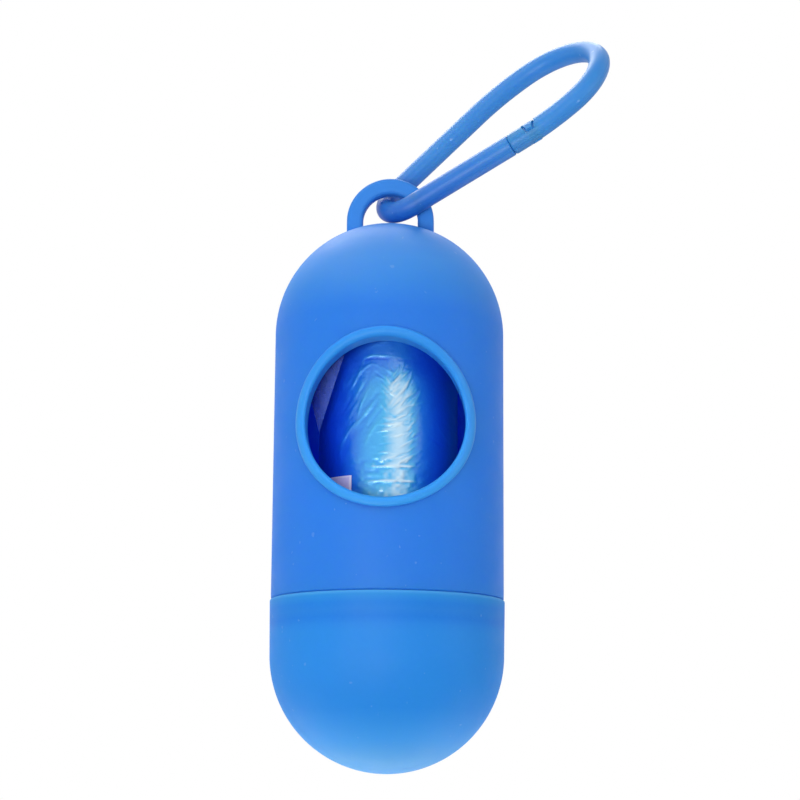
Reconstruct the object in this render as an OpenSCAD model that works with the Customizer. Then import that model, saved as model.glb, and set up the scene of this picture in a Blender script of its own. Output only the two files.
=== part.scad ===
// Pill-shaped dispenser for rolls of dog waste bags, hanging from a moulded spring clip.
// Millimetres. +Z is up and -Y is the side with the window. The origin is the centre of the
// eyelet's arch, on the capsule's axis, which is the point the capsule hangs and swings from.

/* [Capsule] */
// Outside diameter of the upper shell
shell_d = 39.9; // [38:0.1:42]
// Outside diameter of the cap's round bottom
cap_d = 40; // [38:0.1:42]
// How much wider the cap's rim is than its round bottom
cap_rim_flare = 0.24; // [0:0.02:0.4]
// Length of the capsule without the eyelet
capsule_len = 95.5; // [90:0.1:100]
// Height of the cap, from its lowest point to the seam
cap_len = 29.3; // [26:0.1:33]
// Inside diameter of the roll compartment
cavity_d = 36.3; // [35.5:0.1:36.6]
// Open line at the seam between shell and cap
seam_gap = 0.12; // [0.05:0.01:0.3]
// Bevel on both edges of the seam
seam_bevel = 0.15; // [0.05:0.05:0.3]

/* [Push fit] */
// Length of the shell's neck inside the cap
neck_len = 4.3; // [3:0.1:6]
// Outside diameter of the neck
neck_d = 37.86; // [37.4:0.02:37.9]
// Outside diameter over the snap bead on the neck
bead_d = 38.02; // [37.9:0.02:38.06]
// Inside diameter of the cap's mouth, over the neck
mouth_d = 38.1; // [38.08:0.02:38.2]
// Diameter of the snap groove in the cap's mouth
groove_d = 38.4; // [38.2:0.02:38.6]

/* [Window] */
// Height of the window's centre above the capsule's lowest point
window_height = 57.88; // [54:0.1:62]
// Diameter of the hole through the bezel
window_d = 26.8; // [22:0.1:28]
// Outside diameter of the bezel's face ring
bezel_d = 30.28; // [29:0.1:32]
// How far the bezel stands proud of the shell
bezel_raise = 0.7; // [0.4:0.1:1.2]
// Wall of the bezel's sleeve through the shell
sleeve_wall = 0.85; // [0.6:0.05:1.1]
// How far the sleeve reaches past the shell's inner wall
sleeve_reach = 1.95; // [1:0.05:3]

/* [Eyelet] */
// Height of the arch's centre above the top of the dome
eyelet_rise = 0.95; // [0.8:0.05:2.5]
// Inside diameter of the arch
eyelet_hole_d = 9.7; // [9.4:0.1:11]
// Outside diameter of the arch
eyelet_outer_d = 15.4; // [14.6:0.1:17]
// Thickness of the arch, front to back
eyelet_thick = 2.8; // [2.4:0.1:2.9]
// Rounding of the arch's edges
eyelet_round = 0.7; // [0.3:0.1:0.9]

/* [Clip] */
// Diameter of the clip's round strand
strand_d = 3.75; // [3.4:0.05:3.8]
// Centreline radius of the small bend, through the eyelet
small_bend_r = 5; // [4.8:0.1:5.2]
// Centreline radius of the large bend
large_bend_r = 11.8; // [11:0.1:13]
// Centreline radius of the curved flanks beside the large bend
flank_r = 30; // [26:0.5:34]
// Angle by which each straight side opens from the loop's axis
side_angle = 16; // [15:0.5:18]
// Angle that each flank has turned past the loop's axis where the large bend starts
flank_angle = 6; // [4:0.5:8]
// Tip of the small bend's centreline
clip_tip = [-0.5, 1, 2.29]; // [-1:0.01:3]
// Turn of the loop about its own axis
clip_roll = -141; // [-143:0.5:-139]
// Rise of the loop's axis above level
clip_lift = 37.2; // [36:0.1:39]
// Turn of the loop's axis from +X towards -Y
clip_yaw = 5.3; // [4:0.1:7]

/* [Gate] */
// Distance along the strand from the small bend to the gate's hinge line
gate_root = 3; // [2:0.1:5]
// Distance along the strand from the small bend to the line where gate and nose meet
gate_end = 20.6; // [19:0.1:21]
// Open line where gate and nose meet
gate_gap = 0.2; // [0.15:0.01:0.3]
// Length of the gate's tongue behind the nose
tongue_len = 5.4; // [4.5:0.1:6]
// Distance of the tongue's outer face from the strand's centre
tongue_in = 0.55; // [0.4:0.05:0.8]
// Depth of the locating lug past the strand's centre
lug_depth = 1; // [0.6:0.05:1.2]
// Clearance round the tongue and the hinge knuckle
gate_clear = 0.1; // [0.06:0.01:0.15]

/* [Bag roll] */
// Number of bags on the roll
bag_count = 15; // [10:1:20]
// Outside diameter of the full roll
roll_d = 24.4; // [22:0.1:25]
// Length of the roll
roll_len = 65.8; // [60:0.1:66]
// Outside diameter of the cardboard core
core_d = 13; // [12:0.1:14]
// Wall of the cardboard core
core_wall = 1; // [0.6:0.1:1.4]
// Gap between the roll's bottom edge and the cap it stands in
roll_gap = 0.15; // [0.1:0.05:0.4]
// Gap left between one bag's windings and the next
layer_gap = 0.02; // [0.01:0.01:0.05]
// Thickness of the loose end of film and of the end label
sheet_thick = 0.12; // [0.1:0.01:0.2]

/* [Hidden] */
$fn = 96;
shell_r = shell_d / 2;
cap_r = cap_d / 2;
rim_r = cap_r + cap_rim_flare / 2;
cavity_r = cavity_d / 2;
neck_r = neck_d / 2;
window_r = window_d / 2;
bezel_r = bezel_d / 2;
roll_r = roll_d / 2;
core_r = core_d / 2;
strand_r = strand_d / 2;
past = 1; // cutters run this far past what they cut

// Heights along the capsule's axis
dome_top_z = -eyelet_rise;
dome_z = dome_top_z - shell_r;
bottom_z = dome_top_z - capsule_len;
cap_bowl_z = bottom_z + cap_r;
seam_z = bottom_z + cap_len;
neck_z = seam_z - neck_len;
window_z = bottom_z + window_height;
roll_z = cap_bowl_z - sqrt(pow(cavity_r, 2) - pow(roll_r, 2)) + roll_gap;

// Snap bead and groove, halfway down the neck
bead_z = seam_z - neck_len / 2;
bead_h = 0.8;
groove_h = 1.2;
mouth_floor_z = neck_z - 0.3;

// Bezel
hole_clear = 0.05;
bezel_front_r = shell_r + bezel_raise;
sleeve_r = window_r + sleeve_wall;
hole_r = sleeve_r + hole_clear;
sleeve_back_r = cavity_r - sleeve_reach;
barb_r = hole_r + 0.55;
barb_gap = 0.08;
barb_len = 0.7;

// Loop of the clip: s runs along the loop's axis, t across it, both from the small bend's tip
flank_drop = flank_r * (cos(flank_angle) - cos(side_angle));
side_len = (large_bend_r * cos(flank_angle) - small_bend_r * cos(side_angle) - flank_drop)
    / sin(side_angle);
side_start = small_bend_r * [1 - sin(side_angle), cos(side_angle)];
side_end = side_start + side_len * [cos(side_angle), sin(side_angle)];
flank_centre = side_end + flank_r * [sin(side_angle), -cos(side_angle)];
large_centre_s = flank_centre[0] + (flank_r - large_bend_r) * sin(flank_angle);
inner_strand_r = strand_r - 0.01; // stretches that end inside their thicker neighbours
inner_reach = 0.05; // how far they reach into them
lug_start = 3.1;
lug_tip = 3.95;
lug_heel = 4.75;
lug_heel_depth = 0.35;

// Bags: each one winds on the same area of film, so the outer ones are thinner
film_area = (pow(roll_r, 2) - pow(core_r, 2)) / bag_count;

// Loose end of film: a corner that lies on the roll's top end, folds down over its edge and
// hangs there, on the left of the front. Its outline is seen from the front.
roll_top_z = roll_z + roll_len;
sheet_r = 13.35;
sheet_off = 1.05;
sheet_dir = -135; // bearing of the sheet's offset from the roll's axis
loose_tip = [-11.5, -39.4];
loose_right = [-6.1, roll_top_z + sheet_thick];
loose_left = [-12.95, -34.1];
loose_far_left = [-16, -29];
loose_back = -2; // how far back it reaches, as y

// End label, stuck to the outermost bag on the left
label_z = -65;
label_h = 17.9;
label_from = 180;
label_to = 241.8;

function bag_name(k) = str("bag_", k < 10 ? "0" : "", k);
function bag_r(k) = sqrt(pow(core_r, 2) + film_area * (bag_count - k + 1));

module at_z(z) {
    translate([0, 0, z]) children();
}

module tube(r_out, r_in, h) {
    difference() {
        cylinder(r = r_out, h = h);
        at_z(-past) cylinder(r = r_in, h = h + 2 * past);
    }
}

// A bar along -Y from the capsule's axis, through the window
module window_bar(r) {
    at_z(window_z) rotate([90, 0, 0]) cylinder(r = r, h = shell_r + 5);
}

// ---- Capsule ----

module shell_cavity() {
    at_z(neck_z - past) cylinder(r = cavity_r, h = dome_z - neck_z + past);
    at_z(dome_z) sphere(r = cavity_r);
}

module shell_outside() {
    at_z(seam_z + seam_gap / 2 + seam_bevel)
        cylinder(r = shell_r, h = dome_z - seam_z - seam_gap / 2 - seam_bevel);
    at_z(seam_z + seam_gap / 2)
        cylinder(r1 = shell_r - seam_bevel, r2 = shell_r, h = seam_bevel);
    at_z(dome_z) sphere(r = shell_r);
}

module neck() {
    at_z(neck_z) cylinder(r = neck_r, h = neck_len + past);
    at_z(bead_z - bead_h / 2) cylinder(r1 = neck_r, r2 = bead_d / 2, h = bead_h / 2);
    at_z(bead_z) cylinder(r1 = bead_d / 2, r2 = neck_r, h = bead_h / 2);
}

// Section of the arch: a rectangle with round corners, centred on the arch's middle radius
module arch_section() {
    w = (eyelet_outer_d - eyelet_hole_d) / 2;
    square([w, eyelet_thick - 2 * eyelet_round], center = true);
    square([w - 2 * eyelet_round, eyelet_thick], center = true);
    for (x = [-1, 1], y = [-1, 1])
        translate([x * (w / 2 - eyelet_round), y * (eyelet_thick / 2 - eyelet_round)])
            circle(r = eyelet_round);
}

module eyelet() {
    arch_r = (eyelet_outer_d + eyelet_hole_d) / 4;
    leg_len = 5;
    rotate([90, 0, 0]) rotate_extrude(angle = 180) translate([arch_r, 0]) arch_section();
    for (x = [-1, 1])
        translate([x * arch_r, 0, -leg_len]) linear_extrude(leg_len) arch_section();
}

module body_shell() {
    color("royalblue") difference() {
        union() {
            shell_outside();
            neck();
            eyelet();
        }
        shell_cavity();
        window_bar(hole_r);
    }
}

// The bezel's face ring lies on the shell, its sleeve goes through the wall, and a barb
// behind the wall keeps it in.
module window_bezel() {
    half_h = bezel_r + past;
    color("dodgerblue") difference() {
        union() {
            intersection() {
                window_bar(bezel_r);
                at_z(window_z - half_h) tube(bezel_front_r, shell_r + 0.02, 2 * half_h);
            }
            intersection() {
                window_bar(sleeve_r);
                at_z(window_z - half_h) tube(bezel_front_r, sleeve_back_r, 2 * half_h);
            }
            intersection() {
                window_bar(barb_r);
                at_z(window_z - half_h)
                    tube(cavity_r - barb_gap, cavity_r - barb_gap - barb_len, 2 * half_h);
            }
        }
        window_bar(window_r);
    }
}

module cap_outside() {
    flare_h = seam_z - seam_gap / 2 - seam_bevel - cap_bowl_z;
    at_z(cap_bowl_z) sphere(r = cap_r);
    at_z(cap_bowl_z) cylinder(r1 = cap_r, r2 = rim_r, h = flare_h);
    at_z(cap_bowl_z + flare_h) cylinder(r1 = rim_r, r2 = rim_r - seam_bevel, h = seam_bevel);
}

module bottom_cap() {
    color("deepskyblue") difference() {
        cap_outside();
        at_z(cap_bowl_z) sphere(r = cavity_r);
        at_z(cap_bowl_z) cylinder(r = cavity_r, h = cap_len);
        at_z(mouth_floor_z) cylinder(r = mouth_d / 2, h = cap_len);
        at_z(bead_z - groove_h / 2) cylinder(r1 = mouth_d / 2, r2 = groove_d / 2, h = groove_h / 2);
        at_z(bead_z) cylinder(r1 = groove_d / 2, r2 = mouth_d / 2, h = groove_h / 2);
    }
}

// ---- Clip ----

module place_clip() {
    translate(clip_tip) rotate([clip_roll, -clip_lift, -clip_yaw]) children();
}

// Strand along an arc about centre (s, t), from angle a, through a sweep
module strand_arc(centre, r, a, sweep, thick_r = strand_r) {
    translate([centre[0], centre[1], 0]) rotate([0, 0, a])
        rotate_extrude(angle = sweep) translate([r, 0]) circle(r = thick_r);
}

// An arc that reaches into its two neighbours
module inner_arc(centre, r, a, sweep) {
    reach = inner_reach / r * 180 / PI;
    strand_arc(centre, r, a - reach, sweep + 2 * reach, inner_strand_r);
}

// Frame of one straight side: +X along the strand from the small bend, +Y into the loop
module on_side() {
    translate([side_start[0], side_start[1], 0]) rotate([180, 0, side_angle]) children();
}

module side_strand(from, to) {
    on_side() translate([from, 0, 0]) rotate([0, 90, 0]) cylinder(r = strand_r, h = to - from);
}

module flank_strand() {
    inner_arc(flank_centre, flank_r, 90 - flank_angle, flank_angle + side_angle);
}

module mirrored_side() {
    mirror([0, 1, 0]) children();
}

// The notch in the nose, along the strand from the line where gate and nose meet. It is the
// outline of the gate's tongue and lug with clearance all round, and its flanks lean, so that
// the lug leaves it as the gate swings in.
module nose_notch() {
    on_side() translate([gate_end, 0, 0])
        linear_extrude(2 * strand_d, center = true) polygon([
            [-past, tongue_in - gate_clear],
            [lug_start - gate_clear, tongue_in - gate_clear],
            [lug_tip - gate_clear, -lug_depth - 2 * gate_clear],
            [lug_heel + gate_clear, -lug_heel_depth - gate_clear],
            [tongue_len + gate_clear, tongue_in - gate_clear],
            [tongue_len + gate_clear, strand_d],
            [-past, strand_d]
        ]);
}

// What the gate loses beyond the line where it meets the nose: all but its tongue and lug
module past_gate() {
    on_side() translate([gate_end, 0, 0])
        linear_extrude(2 * strand_d, center = true) polygon([
            [-gate_gap / 2, -strand_d],
            [-gate_gap / 2, tongue_in],
            [lug_start, tongue_in],
            [lug_tip, -lug_depth],
            [lug_heel, -lug_heel_depth],
            [tongue_len, tongue_in],
            [tongue_len, strand_d],
            [tongue_len + 2 * strand_d, strand_d],
            [tongue_len + 2 * strand_d, -strand_d]
        ]);
}

// Ball at the gate's root, about which it turns
module knuckle(clear) {
    on_side() translate([gate_root, 0, 0]) sphere(r = strand_r + clear);
}

module clip_frame() {
    color("cornflowerblue") place_clip() {
        inner_arc([small_bend_r, 0], small_bend_r, 90 + side_angle, 180 - 2 * side_angle);
        strand_arc([large_centre_s, 0], large_bend_r, flank_angle - 90, 180 - 2 * flank_angle);
        mirrored_side() {
            side_strand(0, side_len);
            flank_strand();
        }
        difference() {
            side_strand(0, gate_root);
            knuckle(gate_clear);
        }
        difference() {
            union() {
                side_strand(gate_end + gate_gap / 2, side_len);
                flank_strand();
            }
            nose_notch();
        }
    }
}

module clip_gate() {
    color("cornflowerblue") place_clip() {
        knuckle(0);
        difference() {
            side_strand(gate_root, gate_end + strand_d + tongue_len);
            past_gate();
        }
    }
}

// ---- Bag roll ----

module roll_core() {
    color("tan") at_z(roll_z) tube(core_r, core_r - core_wall, roll_len);
}

module bag(k) {
    color("skyblue") at_z(roll_z) tube(bag_r(k), bag_r(k + 1) + layer_gap, roll_len);
}

module bag_loose_end() {
    color("lightskyblue") intersection() {
        translate([0, loose_back, 0]) rotate([90, 0, 0]) linear_extrude(2 * sheet_r) polygon([
            loose_tip,
            loose_right,
            [loose_right[0], loose_right[1] + past],
            [loose_far_left[0], loose_right[1] + past],
            loose_far_left,
            loose_left
        ]);
        rotate([0, 0, sheet_dir]) translate([sheet_off, 0, roll_z]) difference() {
            cylinder(r = sheet_r + sheet_thick / 2, h = roll_len + sheet_thick);
            at_z(-past) cylinder(r = sheet_r - sheet_thick / 2, h = roll_len + past);
        }
    }
}

module roll_label() {
    color("thistle") at_z(label_z) rotate([0, 0, label_from])
        rotate_extrude(angle = label_to - label_from)
            translate([roll_r + layer_gap, 0]) square([sheet_thick, label_h]);
}

body_shell();
window_bezel();
bottom_cap();
clip_frame();
clip_gate();
roll_core();
for (k = [1:bag_count])
    bag(k);
bag_loose_end();
roll_label();
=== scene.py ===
"""Pill-shaped dispenser for rolls of dog waste bags, on a moulded spring clip.

Lengths are written in millimetres and turned into metres by MM. +Z is up, -Y is the side with the
window, and the origin is the centre of the eyelet's arch.
"""
import math

import bmesh
import bpy
import numpy as np
from mathutils import Matrix, Vector


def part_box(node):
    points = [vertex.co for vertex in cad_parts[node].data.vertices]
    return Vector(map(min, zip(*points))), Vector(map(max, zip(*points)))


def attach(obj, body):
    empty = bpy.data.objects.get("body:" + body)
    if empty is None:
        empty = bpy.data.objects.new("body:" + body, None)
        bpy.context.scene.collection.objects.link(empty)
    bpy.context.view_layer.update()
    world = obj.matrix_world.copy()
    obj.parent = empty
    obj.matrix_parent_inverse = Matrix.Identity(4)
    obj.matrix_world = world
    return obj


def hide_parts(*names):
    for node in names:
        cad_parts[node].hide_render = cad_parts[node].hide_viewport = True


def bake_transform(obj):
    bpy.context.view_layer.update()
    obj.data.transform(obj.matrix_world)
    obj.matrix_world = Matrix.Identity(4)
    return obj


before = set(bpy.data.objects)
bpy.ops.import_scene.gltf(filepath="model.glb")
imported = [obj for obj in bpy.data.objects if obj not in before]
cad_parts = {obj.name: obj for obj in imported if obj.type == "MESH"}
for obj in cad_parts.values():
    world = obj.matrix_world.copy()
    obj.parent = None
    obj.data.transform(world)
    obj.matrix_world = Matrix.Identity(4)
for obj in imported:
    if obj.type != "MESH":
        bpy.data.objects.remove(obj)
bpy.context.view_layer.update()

MM = 0.001
SEED = 7


# ---- Sizes, from the frame -----------------------------------------------------------------------

def box_mm(node):
    """Lowest and highest corner of a CAD node, in millimetres."""
    low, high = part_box(node)
    return low / MM, high / MM


shell_low, shell_high = box_mm("body_shell")
cap_low, cap_high = box_mm("bottom_cap")
bezel_low, bezel_high = box_mm("window_bezel")
roll_low, roll_high = box_mm("bag_01")
label_high = box_mm("roll_label")[1]

# Shell and cap. R is a radius about the capsule's axis, and an EDGE is a rounding.
SHELL_R = shell_high.x
CAP_RIM_R = cap_high.x
CAP_R = 20.0
CAVITY_R = 18.15
DOME_TOP_Z = -0.95
DOME_Z = DOME_TOP_Z - SHELL_R
SHELL_EDGE = 0.3
CAP_EDGE = 0.36
SMALL_EDGE = 0.2
CAP_BOTTOM_Z = cap_low.z
CAP_BOWL_Z = CAP_BOTTOM_Z + CAP_R
NECK_Z = shell_low.z
NECK_R = 18.93
BEAD_R = 19.01
NECK_LEN = 4.3
SEAM_Z = NECK_Z + NECK_LEN
SEAM_HALF_GAP = 0.03
SEAM_STEP = 0.05
SEAM_STEP_DROP = 1.7 * SEAM_HALF_GAP
MOUTH_R = 19.05
LEDGE_GAP = 0.3
LEDGE_EDGE = 0.1
GROOVE_R = 19.2
BEAD_Z = SEAM_Z - NECK_LEN / 2
BEAD_LEN = 0.9
GROOVE_LEN = 1.2
# From an edge to the first ring of points on the straight wall
SHELL_RING_GAP = 0.4
CAP_RING_GAP = 0.6

# Window and bezel. R is a radius about the window's axis, but BEZEL_FRONT_R and SLEEVE_BACK_R are
# distances from the capsule's axis.
WINDOW_Z = (bezel_low.z + bezel_high.z) / 2
WINDOW_R = 13.4
SHELL_HOLE_R = 14.3
WINDOW_CUT = (-8, -24)
BEZEL_R = bezel_high.x
BEZEL_PROUD = 0.7
BEZEL_FRONT_R = SHELL_R + BEZEL_PROUD
BEZEL_FOOT_GAP = 0.02
SLEEVE_R = 14.25
SLEEVE_BACK_R = 16.2
BARB_R = 14.85
BARB_CLEAR = 0.08
BARB_LEN = 0.7
BEZEL_CROWN = 0.42
BEZEL_INNER_ROUND = 0.95
BEZEL_UNDERCUT = (0.35, 0.24)

# Eyelet
EYELET_OUT_R = shell_high.z
EYELET_IN_R = 4.85
EYELET_THICK = 2.8
EYELET_ROUND = 0.7
EYELET_ARCH_Z = -0.3
EYELET_LEG_END = -3.2

# Clip: a drop-shaped loop of round strand, with its tip in the eyelet
STRAND_R = 1.875
SMALL_BEND_R = 5.0
LARGE_BEND_R = 11.8
FLANK_R = 30.0
SIDE_ANGLE = math.radians(16)
FLANK_ANGLE = math.radians(6)
# How the clip hangs: the place of its tip, and its turn
CLIP_TIP = Vector((-0.5, 1, 2.29))
CLIP_TURN = (
    Matrix.Rotation(math.radians(-5.3), 3, "Z")
    @ Matrix.Rotation(math.radians(-37.2), 3, "Y")
    @ Matrix.Rotation(math.radians(-141), 3, "X")
)
# Places along the loop's near side, from the end of the small bend
ROOT_CUT = 1.2
GATE_END = 20.6
# Sizes of the gate and its joint
GATE_GAP = 0.03
GATE_CLEAR = 0.015
TONGUE_LEN = 5.4
TONGUE_IN = 0.55

# Roll
ROLL_R = roll_high.x
ROLL_LOW_Z = roll_low.z
ROLL_TOP_Z = roll_high.z
ROLL_LEN = ROLL_TOP_Z - ROLL_LOW_Z
BAG_COUNT = 15


# ---- Camera --------------------------------------------------------------------------------------

# The photograph's camera: it looks slightly up, from just below the capsule's lowest point.
CAMERA_TARGET = Vector((1.926, 0, -32.15))
CAMERA_DISTANCE = 363.97
CAMERA_AZIMUTH = math.radians(1.967)
CAMERA_ELEVATION = math.radians(-10.739)
CAMERA_ROLL = math.radians(0.414)
FOCAL_PIXELS = 2085.4
PHOTO_WIDTH = 800
SENSOR_MM = 36.0


def make_camera():
    back = Vector((
        math.sin(CAMERA_AZIMUTH) * math.cos(CAMERA_ELEVATION),
        -math.cos(CAMERA_AZIMUTH) * math.cos(CAMERA_ELEVATION),
        math.sin(CAMERA_ELEVATION),
    ))
    right = Vector((math.cos(CAMERA_AZIMUTH), math.sin(CAMERA_AZIMUTH), 0))
    up = back.cross(right)
    c, s = math.cos(CAMERA_ROLL), math.sin(CAMERA_ROLL)
    rolled_right = c * right + s * up
    rolled_up = -s * right + c * up
    data = bpy.data.cameras.new("camera")
    data.sensor_width = SENSOR_MM
    data.lens = FOCAL_PIXELS / PHOTO_WIDTH * SENSOR_MM
    data.clip_start = 0.01
    data.clip_end = 100
    camera = bpy.data.objects.new("camera", data)
    turn = Matrix((rolled_right, rolled_up, back)).transposed()
    camera.matrix_world = (
        Matrix.Translation((CAMERA_TARGET + CAMERA_DISTANCE * back) * MM) @ turn.to_4x4()
    )
    bpy.context.scene.collection.objects.link(camera)
    bpy.context.scene.camera = camera


make_camera()


# ---- Mesh helpers --------------------------------------------------------------------------------

# Edges that turn by more than this are sharp
SHARP = math.radians(38)
FILM_SHARP = math.radians(70)
# Points closer than WELD become one, and edges shorter than SLIVER go
WELD = 0.002
SLIVER = 0.0005
ON_AXIS = 1e-6
RING_SEGMENTS = 256
BEZEL_SEGMENTS = 320


def new_object(name, verts, faces):
    """Mesh object from points in millimetres."""
    mesh = bpy.data.meshes.new(name)
    mesh.from_pydata([tuple(c * MM for c in v) for v in verts], [], [tuple(f) for f in faces])
    mesh.validate()
    obj = bpy.data.objects.new(name, mesh)
    bpy.context.scene.collection.objects.link(obj)
    return obj


def tidy_mesh(obj, sharp=SHARP):
    """Outward normals, smooth faces and sharp edges where the surface really turns."""
    bm = bmesh.new()
    bm.from_mesh(obj.data)
    bmesh.ops.remove_doubles(bm, verts=bm.verts, dist=WELD * MM)
    bmesh.ops.dissolve_degenerate(bm, dist=SLIVER * MM, edges=bm.edges)
    bmesh.ops.recalc_face_normals(bm, faces=bm.faces)
    for face in bm.faces:
        face.smooth = True
    for edge in bm.edges:
        turned = len(edge.link_faces) == 2 and edge.calc_face_angle(0) > sharp
        edge.smooth = not turned
    bm.to_mesh(obj.data)
    bm.free()
    obj.data.update()


def set_material(obj, material):
    obj.data.materials.clear()
    obj.data.materials.append(material)


def finish_piece(obj, node, body, material):
    """The piece takes the CAD node's place, rides on its body and gets its material."""
    set_material(obj, material)
    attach(obj, body)
    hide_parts(node)


def round_angles(count):
    """Evenly spaced angles of a full turn."""
    return [2 * math.pi * k / count for k in range(count)]


def grid_faces(rows, columns, close_rows=False):
    """Quads between rings of points that are stored one after the other. close_rows also joins
    the last ring to the first."""
    faces = []
    for i in range(rows if close_rows else rows - 1):
        here, there = i * columns, (i + 1) % rows * columns
        for j in range(columns):
            k = (j + 1) % columns
            faces.append((here + j, here + k, there + k, there + j))
    return faces


def tube_faces(rows, columns):
    """Quads between rings of points, and a face over each end."""
    count = rows * columns
    ends = [tuple(range(columns)), tuple(range(count - 1, count - columns - 1, -1))]
    return grid_faces(rows, columns) + ends


def corner(centre, radius, start, end, steps=6):
    """Points of an arc in a profile, with angles in degrees."""
    angles = np.radians(np.linspace(start, end, steps + 1))
    return [(centre[0] + radius * math.cos(a), centre[1] + radius * math.sin(a)) for a in angles]


def lathe(name, profile):
    """Closed solid from a closed profile of (radius, height). Points on the axis are poles."""
    verts, rings, faces = [], [], []
    for radius, height in profile:
        if radius < ON_AXIS:
            rings.append([len(verts)])
            verts.append((0, 0, height))
            continue
        rings.append(list(range(len(verts), len(verts) + RING_SEGMENTS)))
        verts += [(radius * math.cos(a), radius * math.sin(a), height)
                  for a in round_angles(RING_SEGMENTS)]
    for one, two in zip(rings, rings[1:] + rings[:1]):
        if len(one) == 1 and len(two) == 1:
            continue
        for k in range(RING_SEGMENTS):
            following = (k + 1) % RING_SEGMENTS
            if len(one) == 1:
                faces.append((one[0], two[following], two[k]))
            elif len(two) == 1:
                faces.append((one[k], one[following], two[0]))
            else:
                faces.append((one[k], one[following], two[following], two[k]))
    return new_object(name, verts, faces)


def boolean(obj, other, operation):
    """obj united with or cut by another mesh, which is used up."""
    for mesh_object in (obj, other):
        bm = bmesh.new()
        bm.from_mesh(mesh_object.data)
        bmesh.ops.recalc_face_normals(bm, faces=bm.faces)
        bm.to_mesh(mesh_object.data)
        bm.free()
    modifier = obj.modifiers.new("cut", "BOOLEAN")
    modifier.operation = operation
    modifier.object = other
    modifier.solver = "EXACT"
    bpy.context.view_layer.update()
    evaluated = obj.evaluated_get(bpy.context.evaluated_depsgraph_get())
    mesh = bpy.data.meshes.new_from_object(evaluated)
    obj.modifiers.clear()
    obj.data = mesh
    bpy.data.objects.remove(other)


# ---- Materials -----------------------------------------------------------------------------------

# The Mix node's colour sockets go by number, because it has more sockets of the same names.
MIX_FACTOR, MIX_A, MIX_B, MIX_RESULT = 0, 6, 7, 2


def srgb(r, g, b):
    """Linear colour from an sRGB colour of 0 to 255."""
    def linear(c):
        c /= 255
        return c / 12.92 if c <= 0.04045 else ((c + 0.055) / 1.055) ** 2.4
    return (linear(r), linear(g), linear(b), 1.0)


def fill_sockets(node, values):
    """Fixed values for a node's input sockets, by their names."""
    for socket, value in values.items():
        node.inputs[socket].default_value = value


class Nodes:
    """Short ways to add shader nodes to a new material."""

    def __init__(self, name):
        self.material = bpy.data.materials.new(name)
        self.material.use_nodes = True
        self.tree = self.material.node_tree
        self.shader = self.tree.nodes["Principled BSDF"]
        self.place = self.add("ShaderNodeTexCoord").outputs["Object"]

    def add(self, kind, **settings):
        node = self.tree.nodes.new(kind)
        for key, value in settings.items():
            setattr(node, key, value)
        return node

    def link(self, source, target):
        self.tree.links.new(source, target)

    def noise(self, scale, detail=4.0, roughness=0.55, stretch=(1, 1, 1), distortion=0.0):
        """Noise over the object, with its scale in features per metre."""
        mapping = self.add("ShaderNodeMapping")
        fill_sockets(mapping, {"Scale": stretch})
        self.link(self.place, mapping.inputs["Vector"])
        node = self.add("ShaderNodeTexNoise")
        fill_sockets(node, {"Scale": scale, "Detail": detail, "Roughness": roughness,
                            "Distortion": distortion})
        self.link(mapping.outputs["Vector"], node.inputs["Vector"])
        return node.outputs["Fac"]

    def ramp(self, value, stops):
        """Colour ramp from a value, with stops of (position, colour)."""
        node = self.add("ShaderNodeValToRGB")
        elements = node.color_ramp.elements
        while len(elements) < len(stops):
            elements.new(0.5)
        for element, (position, colour) in zip(elements, stops):
            element.position = position
            element.color = colour
        self.link(value, node.inputs["Fac"])
        return node.outputs["Color"]

    def span(self, value, low, high, to_low, to_high):
        """Value mapped from one range to another, and held at its ends."""
        node = self.add("ShaderNodeMapRange")
        fill_sockets(node, {"From Min": low, "From Max": high, "To Min": to_low,
                            "To Max": to_high})
        self.link(value, node.inputs["Value"])
        return node.outputs["Result"]

    def mix(self, factor, one, two, blend="MIX"):
        """Colour mix, where each of factor, one and two is a value or a socket."""
        node = self.add("ShaderNodeMix", data_type="RGBA", blend_type=blend)
        for value, place in ((factor, MIX_FACTOR), (one, MIX_A), (two, MIX_B)):
            socket = node.inputs[place]
            if isinstance(value, bpy.types.NodeSocket):
                self.link(value, socket)
            else:
                socket.default_value = value
        return node.outputs[MIX_RESULT]

    def bump(self, height, strength, distance, below=None):
        """Bump, with its distance in millimetres, over another bump if there is one."""
        node = self.add("ShaderNodeBump")
        fill_sockets(node, {"Strength": strength, "Distance": distance * MM})
        self.link(height, node.inputs["Height"])
        if below is not None:
            self.link(below, node.inputs["Normal"])
        return node.outputs["Normal"]


SHEEN_TINT = srgb(70, 150, 255)
DUST = srgb(190, 214, 240)
CLOUDING = [(0.3, (0.94, 0.95, 0.98, 1)), (0.7, (1.0, 1.0, 1.0, 1))]
SCATTER_RATIO = (0.1, 0.25, 1.0)
SCATTER_DEPTH = 18.0
# How far below solid_above the wall goes over into solid plastic
SOLID_FADE = 1.5


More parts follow.
